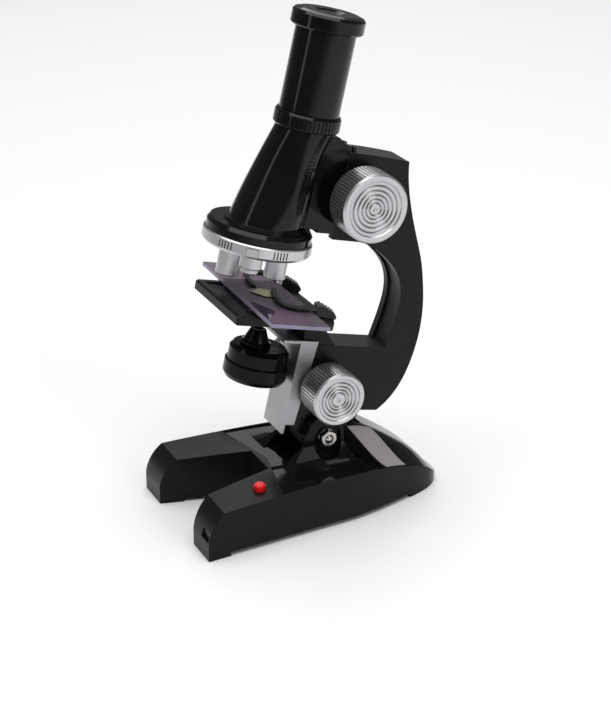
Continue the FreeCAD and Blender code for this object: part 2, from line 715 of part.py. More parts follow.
def clip(turn):
    """The +X stage clip, swung about its post: ribbed head, and a hooked finger over the slide."""
    cx, cv = CLIP_XV
    low = STAGE_TOP + 0.3
    side = [(cv - 4.0, low), (cv - 4.0, low + 4.2), (cv - 2.2, low + 5.0), (cv + 3.6, low + 2.6),
            (cv + CLIP_LEG_R[1] - 0.2, low + 1.2), (cv + CLIP_LEG_R[1] - 0.2, low)]
    head = prism_x(side, cx - 3.3, cx + 3.3)
    for i in range(4):
        v = cv - 1.6 + 1.5 * i
        top = low + 5.0 - 0.414 * (v - cv + 2.2)
        head = head.cut(box(cx - 4, cx + 4, v, v + 0.7, top - 0.7, top + 2))
    leg = ring_sector(CLIP_LEG_R[0], CLIP_LEG_R[1], 60, 120, cx, cv, STAGE_LOW - 1.2, low + 1.0)
    finger_low = SLIDE_LOW + SLIDE_SIZE[2] + 0.25
    outer = [(2.8, -3.0), (6.9, -9.2), (8.2, -14.2), (5.6, -18.9), (-1.0, -20.6), (-8.5, -20.5), (-16.4, -19.5)]
    inner = [(-16.8, -18.1), (-8.0, -18.7), (-0.8, -18.4), (3.0, -15.8), (3.2, -11.0), (-2.2, -3.0)]
    outer = [V3(cx + x, cv + v, 0) for x, v in outer]
    inner = [V3(cx + x, cv + v, 0) for x, v in inner]
    edges = [smooth(outer), line(outer[-1], inner[0]), smooth(inner), line(inner[-1], outer[0])]
    finger = face_of(edges).extrude(V3(0, 0, 1.3))
    finger.translate(V3(0, 0, finger_low))
    post = rod_w(1.5, cv, STAGE_LOW - 0.4, low + 1, cx)
    foot = rod_w(2.4, cv, STAGE_LOW - 1.7, STAGE_LOW - 0.3, cx)
    whole = join(head, leg, finger, post, foot)
    whole.rotate(V3(cx, cv, 0), Z_AXIS, turn)
    return whole


def make_clip_right():
    return place_on_arm(clip(-14))


def make_clip_left():
    return place_on_arm(mirror_x(clip(14)))


def on_slide(shape):
    """Turn a shape drawn square to the stage to the slide's slightly skewed place."""
    shape.rotate(V3(0, SLIDE_V, 0), Z_AXIS, SLIDE_TURN)
    return place_on_arm(shape)


def make_specimen_slide():
    length, width, thick = SLIDE_SIZE
    slide = box(-length / 2, length / 2, SLIDE_V - width / 2, SLIDE_V + width / 2, SLIDE_LOW, SLIDE_LOW + thick)
    slide = slide.cut(rod_w(5.8, SPECIMEN_V, SLIDE_LOW + 0.9, SLIDE_LOW + 3))
    return on_slide(slide)


def make_slide_specimen():
    disc = rod_w(5.6, SPECIMEN_V, SLIDE_LOW + 0.95, SLIDE_LOW + 1.35)
    return on_slide(disc)


def make_slide_print():
    _, width, thick = SLIDE_SIZE
    top = SLIDE_LOW + thick
    film = box(10.5, 33.5, SLIDE_V - width / 2 + 2, SLIDE_V + width / 2 - 2, top + 0.01, top + 0.11)
    return on_slide(film)


# ---------------------------------------------------------------- gears
def involute_tooth(thickness_scale=0.86):
    """Half flank of a pinion tooth as (radius, half angle) points, root to tip."""
    pressure = math.radians(20)
    base_r = PITCH_R * math.cos(pressure)
    inv_pitch = math.tan(pressure) - pressure
    half = math.pi / (2 * TEETH) * thickness_scale
    points = []
    tip = PITCH_R + 0.75 * MODULE
    for radius in (PITCH_R - 1.15 * MODULE, base_r, PITCH_R, (PITCH_R + tip) / 2, tip):
        angle = math.acos(min(base_r / radius, 1.0))
        involute = math.tan(angle) - angle
        points.append((radius, half + inv_pitch - involute))
    return points


def pinion(x_half, v, w):
    """Spur pinion about X, with a tooth gap facing the rack in front of it."""
    flank = involute_tooth()
    outline = []
    for i in range(TEETH):
        centre = math.pi + 2 * math.pi * (i + 0.5) / TEETH
        for radius, half in flank:
            outline.append((v + radius * math.cos(centre - half), w + radius * math.sin(centre - half)))
        for radius, half in reversed(flank):
            outline.append((v + radius * math.cos(centre + half), w + radius * math.sin(centre + half)))
    return prism_x(outline, -x_half, x_half)


def rack_teeth(x_half, v_pitch, w_mesh, w_low, w_high):
    """Rack teeth facing +V, one of them centred on w_mesh, on a thin strip behind them."""
    pitch = math.pi * MODULE
    tip = v_pitch + 0.7 * MODULE
    root = v_pitch - 1.1 * MODULE
    slope = math.tan(math.radians(20))
    half = pitch / 4 * 0.86
    first = math.ceil((w_low - w_mesh) / pitch + 0.5)
    last = math.floor((w_high - w_mesh) / pitch - 0.5)
    outline = [(root - 1.0, w_low), (root, w_low)]
    for i in range(first, last + 1):
        w = w_mesh + i * pitch
        outline += [
            (root, w - half - (v_pitch - root) * slope),
            (tip, w - half + (tip - v_pitch) * slope),
            (tip, w + half - (tip - v_pitch) * slope),
            (root, w + half + (v_pitch - root) * slope),
        ]
    outline += [(root, w_high), (root - 1.0, w_high)]
    return prism_x(outline, -x_half, x_half), root


def make_focus_pinion():
    v, w = FOCUS_VW
    gear = pinion(2.3, v, w)
    return place_on_arm(gear.cut(rod_x(SHAFT_R, -5, 5, v, w)))


def make_lower_pinion():
    v, w = LOWER_VW
    gear = pinion(2.3, v, w)
    return place_on_arm(gear.cut(rod_x(SHAFT_R, -5, 5, v, w)))


def make_focus_shaft():
    v, w = FOCUS_VW
    return place_on_arm(rod_x(SHAFT_R, -KNOB_X[1] + 2.4, KNOB_X[1] - 2.4, v, w))


def make_lower_shaft():
    v, w = LOWER_VW
    return place_on_arm(rod_x(SHAFT_R, -LOWER_KNOB_X[1] + 2.4, LOWER_KNOB_X[1] - 2.4, v, w))


def knob(radius, x_span, hub_r, v, w, grooves):
    """The +X knob: knurled rim, raised lip, concentric rings and a hub, bored for its shaft."""
    x0, x1 = x_span
    face = x1 - 0.55
    profile = [(x0, 0), (x0, radius - 0.6), (x0 + 0.6, radius), (x1 - 0.6, radius), (x1, radius - 0.7),
               (x1, radius * 0.82), (face, radius * 0.79)]
    for ratio in grooves:
        r = radius * ratio
        profile += [(face, r + 0.5), (face - 0.4, r), (face, r - 0.5)]
    profile += [(face, 1.3), (face - 0.5, 0.0)]
    body = turned_x(profile, v, w)
    teeth = 66 if radius > 13 else 56
    cuts = []
    for i in range(teeth):
        a = 2 * math.pi * i / teeth
        c, s = math.cos(a), math.sin(a)
        depth, half = 0.5, radius * math.pi / teeth * 0.55
        inner = radius - depth
        points = [(v + inner * c, w + inner * s), (v + (radius + 0.3) * c - half * s, w + (radius + 0.3) * s + half * c),
                  (v + (radius + 0.3) * c + half * s, w + (radius + 0.3) * s - half * c)]
        cuts.append(prism_x(points, x0 - 0.1, x1 - 1.1))
    body = body.cut(Part.Compound(cuts))
    hub = rod_x(hub_r, ARM_HALF + 0.3, x0, v, w)
    return join(body, hub).cut(rod_x(SHAFT_R, 0, x1 - 2.4, v, w))


def focus_knob():
    v, w = FOCUS_VW
    return knob(KNOB_R, KNOB_X, 5.0, v, w, (0.68, 0.54, 0.41, 0.29, 0.18))


def lower_knob():
    v, w = LOWER_VW
    return knob(LOWER_KNOB_R, LOWER_KNOB_X, 4.2, v, w, (0.66, 0.52, 0.39, 0.27))


# ---------------------------------------------------------------- tube
def cone_solid(inset, low, high):
    """The forward-leaning cone of the tube, its surface moved in by inset, between two heights."""
    rings = [Part.Wire([Part.makeCircle(radius - inset, V3(0, OPTICAL_V - lean, w), Z_AXIS)])
             for w, radius, lean in CONE]
    return Part.makeLoft(rings, True, False).common(box(-30, 30, -80, 0, low, high))


def make_body_cone():
    _, low_r, lean = CONE[-1]
    disc = turned([(0, FLANGE_LOW), (FLANGE_R, FLANGE_LOW), (FLANGE_R, FLANGE_TOP - 1.6), (FLANGE_R - 1.2, FLANGE_TOP),
                   (0, FLANGE_TOP)], 0, TURRET_V)
    foot = rod_w(low_r + 1.5, OPTICAL_V - lean, FLANGE_TOP - 0.2, FLANGE_TOP + 0.7)
    body = join(cone_solid(0, FLANGE_TOP - 0.2, CONE_TOP), disc, foot)
    body = body.cut(cone_solid(WALL, FLANGE_TOP + 1.5, EYE_SLEEVE_LOW - 0.4))
    body = body.cut(rod_w(EYE_SLEEVE_R + 0.25, OPTICAL_V, EYE_SLEEVE_LOW - 1, CONE_TOP + 1))
    body = body.cut(rod_w(4.0, OPTICAL_V, FLANGE_LOW - 1, FLANGE_TOP + 3))
    return place_on_arm(body.cut(rod_w(1.2, TURRET_V, FLANGE_LOW - 1, FLANGE_TOP - 0.9)))


def make_tube_carriage():
    """Block on the back of the cone that slides on the arm's head and carries the rack."""
    back = HEAD_FRONT - RUN
    front = OPTICAL_V + 1.0
    neck_low = FLANGE_TOP + 0.8
    outline = [(front, neck_low), (-24.6, neck_low), (-24.6, CARRIAGE_LOW), (back, CARRIAGE_LOW), (back, 126.4),
               (-20.4, 127.6), (-23.2, 129.4), (front, 129.4)]
    block = prism_x(outline, -8.0, 8.0).cut(cone_solid(-0.03, FLANGE_TOP - 0.2, CONE_TOP))
    block = block.cut(box(-2.9, 2.9, -19.9, back + 1, CARRIAGE_LOW - 1, 131))
    hooks = []
    for side in (-1, 1):
        neck = sorted((side * 2.9, side * 3.9))
        hook = sorted((side * 2.9, side * 5.6))
        hooks.append(box(neck[0], neck[1], back - 0.5, -14.7, CARRIAGE_LOW, 125.6))
        hooks.append(box(hook[0], hook[1], -14.7, -13.3, CARRIAGE_LOW, 125.6))
    return place_on_arm(join(block, *hooks))


def make_tube_rack():
    v, w = FOCUS_VW
    teeth, root = rack_teeth(2.5, v - PITCH_R, w, CARRIAGE_LOW + 0.4, 118.0)
    back = box(-2.8, 2.8, -19.85, root - 0.9, CARRIAGE_LOW + 0.4, 118.0)
    return place_on_arm(join(teeth, back))


def make_lock_ring():
    """Knurled ring where the eyepiece enters the cone."""
    low, high = CONE_TOP + 0.05, RING_TOP
    ring = turned([(0, low), (RING_R - 0.7, low), (RING_R, low + 0.7), (RING_R, high - 0.9), (RING_R - 0.6, high),
                   (0, high)], 0, OPTICAL_V)
    ring = ring.cut(rod_w(EYE_SLEEVE_R + 0.25, OPTICAL_V, low - 1, high + 1))
    cuts = []
    count = 48
    for i in range(count):
        a = 2 * math.pi * i / count
        c, s = math.cos(a), math.sin(a)
        cut = box(RING_R - 0.45, RING_R + 1, -0.32, 0.32, low + 0.9, high - 1.3)
        cut.rotate(ORIGIN, Z_AXIS, math.degrees(a))
        cut.translate(V3(0, OPTICAL_V, 0))
        cuts.append(cut)
    return place_on_arm(ring.cut(Part.Compound(cuts)))


def make_eyepiece_tube():
    low = RING_TOP + 0.15
    tube = join(rod_w(EYE_R, OPTICAL_V, low, CAP_LOW + 3.5), rod_w(EYE_SLEEVE_R, OPTICAL_V, EYE_SLEEVE_LOW, low + 1))
    tube = tube.cut(rod_w(EYE_SLEEVE_R - 1.8, OPTICAL_V, EYE_SLEEVE_LOW - 1, CAP_TOP))
    tube = tube.cut(rod_w(EYE_R - 1.8, OPTICAL_V, low + 2.5, CAP_TOP))
    return place_on_arm(tube.cut(rod_w(EYE_SLEEVE_R - 0.85, OPTICAL_V, EYE_SLEEVE_LOW + 1.2, EYE_SLEEVE_LOW + 3.6)))


def make_eyepiece_cap():
    profile = [(0, CAP_TOP - 2.6), (EYE_R + 0.05, CAP_TOP - 2.6), (EYE_R + 0.05, CAP_LOW), (CAP_R - 0.6, CAP_LOW),
               (CAP_R, CAP_LOW + 0.6), (CAP_R, CAP_TOP - 1.6), (CAP_R - 0.9, CAP_TOP - 0.6), (CAP_R - 3, CAP_TOP),
               (6.5, CAP_TOP), (4.6, CAP_TOP - 0.9), (0, CAP_TOP - 0.9)]
    cap = turned(profile, 0, OPTICAL_V)
    return place_on_arm(cap.cut(rod_w(3.2, OPTICAL_V, CAP_TOP - 4, CAP_TOP + 1)))


def lens(radius, edge, crown, v, w, x=0.0):
    """Biconvex lens centred on (x, v, w): edge thickness and crown height per side."""
    ball_r = (radius ** 2 + crown ** 2) / (2 * crown)
    upper = Part.makeSphere(ball_r, V3(x, v, w + edge / 2 + crown - ball_r))
    lower = Part.makeSphere(ball_r, V3(x, v, w - edge / 2 - crown + ball_r))
    disc = rod_w(radius, v, w - edge / 2 - crown, w + edge / 2 + crown, x)
    return disc.common(upper).common(lower)


def make_eye_lens():
    return place_on_arm(lens(EYE_R - 1.85, 1.2, 1.0, OPTICAL_V, CAP_TOP - 4.9))


def make_field_lens():
    return place_on_arm(lens(EYE_SLEEVE_R - 0.9, 1.0, 0.6, OPTICAL_V, EYE_SLEEVE_LOW + 2.4))


# ---------------------------------------------------------------- turret
OBJECTIVES = {"objective_medium": (90, 66.0, 4.6), "objective_long": (210, 63.6, 4.9), "objective_short": (330, 70.9, 4.7)}


def objective_xv(angle):
    a = math.radians(angle)
    return OBJ_OFFSET * -math.cos(a), TURRET_V - OBJ_OFFSET * math.sin(a)


def make_turret_disc():
    profile = [(0, TURRET_LOW + 1.6), (TURRET_R - 4.4, TURRET_LOW + 1.6), (TURRET_R - 3.6, TURRET_LOW),
               (TURRET_R - 1.2, TURRET_LOW), (TURRET_R, TURRET_LOW + 1.2), (TURRET_R, TURRET_TOP - 0.5),
               (TURRET_R - 0.5, TURRET_TOP), (0, TURRET_TOP)]
    disc = turned(profile, 0, TURRET_V)
    for angle, _, _ in OBJECTIVES.values():
        x, v = objective_xv(angle)
        disc = disc.cut(rod_w(3.2, v, 70, 90, x))
    disc = disc.cut(rod_w(1.6, TURRET_V, 70, 90))
    disc = disc.cut(rod_w(3.2, TURRET_V, 70, TURRET_TOP - 2.2))
    cuts = []
    pads = []
    for k in range(12):
        middle = 0.6 + 30 * k
        if k % 4 == 1:
            continue
        if k % 4 == 3:
            pad = box(TURRET_R - 1.0, TURRET_R + 0.5, -2.3, 2.3, TURRET_LOW + 1.2, TURRET_TOP - 1.2)
            pad.rotate(ORIGIN, Z_AXIS, middle)
            pad.translate(V3(0, TURRET_V, 0))
            pads.append(pad)
            continue
        for j in range(5):
            cut = box(TURRET_R - 0.5, TURRET_R + 1, -0.3, 0.3, TURRET_LOW + 1.4, TURRET_TOP - 1.0)
            cut.rotate(ORIGIN, Z_AXIS, middle + 3.6 * (j - 2))
            cut.translate(V3(0, TURRET_V, 0))
            cuts.append(cut)
    return place_on_arm(join(disc, *pads).cut(Part.Compound(cuts)))


def make_objective(name):
    angle, low, radius = OBJECTIVES[name]
    x, v = objective_xv(angle)
    top = TURRET_LOW + 1.55
    if name == "objective_short":
        profile = [(0, top), (radius, top), (radius, low + 2.6), (radius - 0.5, low + 2.1), (radius - 1.1, low + 2.1),
                   (radius - 1.1, low + 0.4), (radius - 1.5, low), (0, low)]
    else:
        profile = [(0, top), (radius, top), (radius, low + 0.6), (radius - 0.6, low), (0, low)]
    barrel = turned(profile, x, v)
    barrel = join(barrel, rod_w(3.15, v, top - 0.5, top + 1.9, x))
    barrel = barrel.cut(rod_w(2.3, v, low - 1, top + 5, x))
    return place_on_arm(barrel.cut(rod_w(3.0, v, low + 0.9, low + 3.0, x)))


def make_objective_lens(name):
    angle, low, _ = OBJECTIVES[name]
    x, v = objective_xv(angle)
    return place_on_arm(lens(2.9, 0.8, 0.5, v, low + 1.95, x))


def make_turret_screw():
    head = rod_w(3.0, TURRET_V, TURRET_TOP - 3.9, TURRET_TOP - 2.5)
    shank = rod_w(1.5, TURRET_V, TURRET_TOP - 2.5, TURRET_TOP + 0.2)
    thread = rod_w(1.2, TURRET_V, TURRET_TOP + 0.2, FLANGE_TOP - 1.2)
    slot = box(-2.2, 2.2, TURRET_V - 0.3, TURRET_V + 0.3, TURRET_TOP - 4.5, TURRET_TOP - 3.2)
    return place_on_arm(join(head, shank, thread).cut(slot))


# ---------------------------------------------------------------- lamp carriage and lamp
def make_lamp_bracket():
    """Sheet channel round the arm's lower front, with a ribbed shelf above the lamp."""
    x_in, x_out = BRACKET_X, BRACKET_X + BRACKET_SHEET
    plate_back = BRACKET_FRONT + BRACKET_SHEET
    plate = box(-x_out, x_out, BRACKET_FRONT, plate_back, 0.0, BRACKET_TOP)
    flange = [(BRACKET_FRONT, 4.2), (-15.8, 4.2), (-12.9, BRACKET_TOP), (BRACKET_FRONT, BRACKET_TOP)]
    right = prism_x(flange, x_in, x_out)
    shelf = box(-x_out, x_out, -29.0, plate_back, BRACKET_TOP - 1.3, BRACKET_TOP)
    body = join(plate, right, mirror_x(right), shelf)
    for i in range(5):
        v = -28.2 + 1.3 * i
        body = body.cut(box(-x_out - 1, x_out + 1, v, v + 0.5, BRACKET_TOP - 0.35, BRACKET_TOP + 1))
    body = body.cut(rod(2.2 + FIT, V3(0, -30, LAMP_W), V3(0, -15, LAMP_W)))
    return place_on_arm(body)


def make_lamp_rack():
    v, w = LOWER_VW
    plate_back = BRACKET_FRONT + BRACKET_SHEET
    teeth, root = rack_teeth(2.3, v - PITCH_R, w, 11.0, 39.0)
    back = box(-2.5, 2.5, plate_back + 0.05, root - 0.9, 11.0, 39.0)
    rack = join(teeth, back)
    return place_on_arm(rack.cut(rod(3.0, V3(0, -30, LAMP_W), V3(0, -16.4, LAMP_W))))


def make_lamp_pin():
    pin = rod(2.2, V3(0, BRACKET_FRONT - 5.0, LAMP_W), V3(0, BRACKET_FRONT + BRACKET_SHEET + 0.1, LAMP_W))
    head = rod(2.7, V3(0, BRACKET_FRONT + BRACKET_SHEET + 0.1, LAMP_W), V3(0, -16.6, LAMP_W))
    return place_on_arm(join(pin, head))


def make_lamp_housing():
    """Round drum in two tiers, closed on top but for the light hole, open below for the mirror."""
    low, high = LAMP_LOW, LAMP_TOP
    outside = [(0, low), (10.8, low), (12.4, low + 0.7), (LAMP_R, low + 2.6), (LAMP_R, high - 7.6),
               (12.7, high - 7.0), (12.7, high - 1.8), (11.2, high), (0, high)]
    body = turned(outside, 0, LAMP_V)
    body = body.cut(rod_w(11.2, LAMP_V, low + 2.9, high - 1.8)).cut(rod_w(9.8, LAMP_V, low - 1, low + 3))
    body = body.cut(rod_w(3.0, SNOUT_V, high - 3, high + 1))
    return place_on_arm(body.cut(rod(2.2, V3(0, -30, LAMP_W), V3(0, -15, LAMP_W))))


def make_lamp_snout():
    base = LAMP_TOP + 0.05
    profile = [(0, base), (6.4, base), (6.4, base + 1.4), (5.5, base + 2.0), (3.3, base + 7.2), (0, base + 7.2)]
    snout = join(turned(profile, 0, SNOUT_V), rod_w(2.95, SNOUT_V, base - 2.6, base + 0.2))
    return place_on_arm(snout.cut(rod_w(2.1, SNOUT_V, base - 4, base + 9)))


def make_lamp_socket():
    low = LAMP_LOW + 3.6
    disc = rod_w(11.0, LAMP_V, low, low + 1.2).cut(box(-3, 3, -26.6, -20, low - 1, low + 2))
    holder = join(disc, rod_w(3.4, SNOUT_V, low + 1.1, low + 3.4))
    return place_on_arm(holder.cut(rod_w(1.1, SNOUT_V, low + 0.4, low + 4)))


def make_lamp_bulb():
    low = LAMP_LOW + 7.1
    bulb = turned([(0, low), (2.2, low), (2.2, low + 2.7), (1.6, low + 4.3), (0, low + 5.0)], 0, SNOUT_V)
    return place_on_arm(join(bulb, rod_w(1.0, SNOUT_V, low - 2.7, low + 0.1)))


def make_lamp_mirror():
    return place_on_arm(rod_w(9.7, LAMP_V, LAMP_LOW + 0.5, LAMP_LOW + 2.1))


# ---------------------------------------------------------------- write every node
def parts():
    yield "base_shell", make_base_shell()
    yield "base_bottom_plate", make_base_bottom_plate()
    yield "base_screws", make_base_screws()
    yield "battery_door", make_battery_door()
    yield "battery_door_screw", make_battery_door_screw()
    yield "battery_left", battery(-8.0, False)
    yield "battery_right", battery(8.0, True)
    yield "battery_contacts", make_battery_contacts()
    yield "switch_body", make_switch_body()
    yield "switch_board", make_switch_board()
    yield "switch_button", make_switch_button()
    yield "label_plate", make_label_plate()
    yield "tilt_bolt", make_tilt_bolt()
    yield "tilt_nut", make_tilt_nut()
    yield "tilt_washers", make_tilt_washers()
    yield "arm_half_left", make_arm_half_left()
    yield "arm_half_right", make_arm_half_right()
    yield "arm_screws", make_arm_screws()
    yield "stage_support", make_stage_support()
    yield "stage_plate", make_stage_plate()
    yield "stage_screws", make_stage_screws()
    yield "clip_left", make_clip_left()
    yield "clip_right", make_clip_right()
    yield "specimen_slide", make_specimen_slide()
    yield "slide_specimen", make_slide_specimen()
    yield "slide_print", make_slide_print()
    yield "focus_shaft", make_focus_shaft()
    yield "focus_pinion", make_focus_pinion()
    yield "focus_knob_right", place_on_arm(focus_knob())
    yield "focus_knob_left", place_on_arm(mirror_x(focus_knob()))
    yield "body_cone", make_body_cone()
    yield "tube_carriage", make_tube_carriage()
    yield "tube_rack", make_tube_rack()
    yield "lock_ring", make_lock_ring()
    yield "turret_screw", make_turret_screw()
    yield "turret_disc", make_turret_disc()
    for name in OBJECTIVES:
        yield name, make_objective(name)
        yield name.replace("objective", "lens"), make_objective_lens(name)
    yield "eyepiece_tube", make_eyepiece_tube()
    yield "eyepiece_cap", make_eyepiece_cap()
    yield "eye_lens", make_eye_lens()
    yield "field_lens", make_field_lens()
    yield "lower_shaft", make_lower_shaft()
    yield "lower_pinion", make_lower_pinion()
    yield "lower_knob_right", place_on_arm(lower_knob())
    yield "lower_knob_left", place_on_arm(mirror_x(lower_knob()))
    yield "lamp_bracket", make_lamp_bracket()
    yield "lamp_rack", make_lamp_rack()
    yield "lamp_pin", make_lamp_pin()
    yield "lamp_housing", make_lamp_housing()
    yield "lamp_snout", make_lamp_snout()
    yield "lamp_socket", make_lamp_socket()
    yield "lamp_bulb", make_lamp_bulb()
    yield "lamp_mirror", make_lamp_mirror()


os.makedirs("parts", exist_ok=True)
for node, shape in parts():
    shape.exportStep("parts/" + node + ".step")
    size = shape.BoundBox
    print("%-20s solids %d  valid %s  vol %8.1f  x %.1f..%.1f  y %.1f..%.1f  z %.1f..%.1f" % (
        node, len(shape.Solids), shape.isValid(), shape.Volume,
        size.XMin, size.XMax, size.YMin, size.YMax, size.ZMin, size.ZMax))
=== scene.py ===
import json
import math

import bmesh
import bpy
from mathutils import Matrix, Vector


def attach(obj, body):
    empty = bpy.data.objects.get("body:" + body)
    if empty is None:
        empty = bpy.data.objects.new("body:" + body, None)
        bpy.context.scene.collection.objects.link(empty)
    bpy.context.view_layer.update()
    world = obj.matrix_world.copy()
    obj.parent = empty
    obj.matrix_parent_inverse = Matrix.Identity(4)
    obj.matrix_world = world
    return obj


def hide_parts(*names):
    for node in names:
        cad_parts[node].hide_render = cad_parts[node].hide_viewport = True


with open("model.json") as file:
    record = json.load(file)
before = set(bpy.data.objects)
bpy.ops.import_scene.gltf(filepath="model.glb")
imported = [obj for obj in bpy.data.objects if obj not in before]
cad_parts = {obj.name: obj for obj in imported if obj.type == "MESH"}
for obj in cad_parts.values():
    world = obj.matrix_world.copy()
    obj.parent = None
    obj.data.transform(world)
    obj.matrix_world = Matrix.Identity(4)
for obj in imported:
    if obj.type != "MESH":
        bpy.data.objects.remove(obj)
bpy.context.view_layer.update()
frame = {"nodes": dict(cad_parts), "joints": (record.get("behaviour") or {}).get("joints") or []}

MM = 0.001

# The arm's own frame: x across, v towards the back, w up the leaning arm, from the tilt bolt.
JOINTS = {joint["name"]: joint for joint in frame["joints"]}
TILT_BOLT = Vector(JOINTS["arm_tilt"]["pos_m"])
ARM_UP = Vector(JOINTS["tube_slide"]["axis"]).normalized()
ARM_BACK = Vector((0.0, ARM_UP.z, -ARM_UP.y))

# The slide and its specimen in the arm's frame, in mm. The slide lies 1.5 degrees askew.
SLIDE_V = -37.9
SLIDE_TOP = 59.2
SLIDE_TURN = math.radians(-1.5)
SPECIMEN_X = -1.2
SPECIMEN_V = -38.6

# The specimen in mm: its mean radius, how far its three corners stand out and where they point
# (radians), its rim's height above the slide, how far it domes and ripples, and its thickness.
SPECIMEN_RADIUS = 4.9
SPECIMEN_CORNER = 0.75
SPECIMEN_CORNER_ANGLE = 0.23
SPECIMEN_RIM = 0.10
SPECIMEN_DOME = 0.07
SPECIMEN_RIPPLE = 0.02
SPECIMEN_THICKNESS = 0.06

# Heights above the slide's top, in mm, of the printed motif and of the darker violet sheet of painted
# shadow.
INK_AND_SHADOW_BOTTOM = 0.03
MOTIF_TOP = 0.10
SHADOW_PATCH_TOP = 0.07

# The camera's place in metres, the direction it looks in, and its lens in mm.
CAMERA_PLACE = (0.6350, -0.3020, 0.3806)
CAMERA_LOOK = (-0.8239, 0.3914, -0.4099)
CAMERA_LENS = 90.6

# Soft boxes: place and size in metres, power in watts.
LIGHT_AIM = (0.0, 0.0, 0.08)
SOFT_BOXES = {
    "top_box": ((0.1, -0.1, 1.9), (2.2, 2.2), 42.0),
    "front_box": ((1.15, 0.40, 0.75), (0.55, 0.9), 3.4),
    "left_strip": ((0.10, -1.20, 0.60), (0.16, 0.8), 0.8),
    "back_box": ((-1.1, 0.55, 0.95), (0.7, 0.7), 2.6),
}
ROOM_STRENGTH = 0.16
FLOOR_HALF = 6.0
FLOOR_DROP = 0.0001

# Where the base turns from satin to polished: the deck's front edge and side walls, each from one
# place to another in metres, and how far the edge sweeps forward for each metre out from the middle.
DECK_FRONT = (-0.0188, -0.0184)
DECK_WALL_X = (0.0150, 0.0155)
DECK_SWEEP = 0.22

# Wear shared by every finish. Dulling is roughness added, and POLISH is the share of roughness and
# grain that a polished stretch of the mould loses.
SCRATCHES = 0.15
SCRATCH_DULLING = 0.12
SCRATCH_DEPTH = 0.08
SMUDGE = 0.12
RUB_DULLING = 0.15
POLISH = 0.72

# Bump shared by every finish, its distance in metres.
BUMP_STRENGTH = 0.6
BUMP_DISTANCE = 0.0001

# The silver parts' colour, and the painted shade laid in their grooves: from how far (m), how much, and how
# dark.
SILVER = (0.56, 0.55, 0.565)
GROOVE_SHADE_REACH = 0.0011
GROOVE_SHADE_STRENGTH = 0.9
GROOVE_SHADE = 0.15


def arm_point(x, v, w):
    """A point of the arm's frame (mm) as a place in the world (m)."""
    return TILT_BOLT + (Vector((x, 0.0, 0.0)) + ARM_BACK * v + ARM_UP * w) * MM


def on_slide(x, v, height):
    """A point on the slide, drawn square to the stage, turned to the slide's slightly skewed place."""
    c, s = math.cos(SLIDE_TURN), math.sin(SLIDE_TURN)
    dv = v - SLIDE_V
    return arm_point(x * c - dv * s, SLIDE_V + x * s + dv * c, SLIDE_TOP + height)


# ------------------------------------------------------------------ camera, floor and lights
def add_object(name, data):
    made = bpy.data.objects.new(name, data)
    bpy.context.scene.collection.objects.link(made)
    return made


def make_camera():
    data = bpy.data.cameras.new("camera")
    data.lens = CAMERA_LENS
    data.sensor_width = 36.0
    data.clip_start = 0.01
    camera = add_object("camera", data)
    camera.location = CAMERA_PLACE
    camera.rotation_euler = Vector(CAMERA_LOOK).to_track_quat("-Z", "Y").to_euler()
    bpy.context.scene.camera = camera


def make_soft_box(name, place, size, power):
    data = bpy.data.lights.new(name, "AREA")
    data.shape = "RECTANGLE"
    data.size, data.size_y = size
    data.energy = power
    light = add_object(name, data)
    light.location = place
    light.rotation_euler = (Vector(LIGHT_AIM) - Vector(place)).to_track_quat("-Z", "Y").to_euler()


def make_room():
    """A dim, even surrounding, with colours shown as they are."""
    scene = bpy.context.scene
    scene.view_settings.view_transform = "Standard"
    world = bpy.data.worlds.new("studio")
    scene.world = world
    world.use_nodes = True
    background = world.node_tree.nodes["Background"]
    background.inputs["Color"].default_value = (0.97, 0.97, 1.0, 1.0)
    background.inputs["Strength"].default_value = ROOM_STRENGTH


def make_floor():
    mesh = bpy.data.meshes.new("floor")
    corners = [(-1, -1), (1, -1), (1, 1), (-1, 1)]
    mesh.from_pydata([(x * FLOOR_HALF, y * FLOOR_HALF, 0) for x, y in corners], [], [(0, 1, 2, 3)])
    paint = bpy.data.materials.new("floor")
    paint.use_nodes = True
    shader = paint.node_tree.nodes["Principled BSDF"]
    shader.inputs["Base Color"].default_value = (0.95, 0.95, 0.955, 1.0)
    shader.inputs["Roughness"].default_value = 0.8
    mesh.materials.append(paint)
    floor = add_object("floor", mesh)
    floor.location.z = -FLOOR_DROP


def make_studio():
    make_room()
    for name, (place, size, power) in SOFT_BOXES.items():
        make_soft_box(name, place, size, power)
    make_floor()


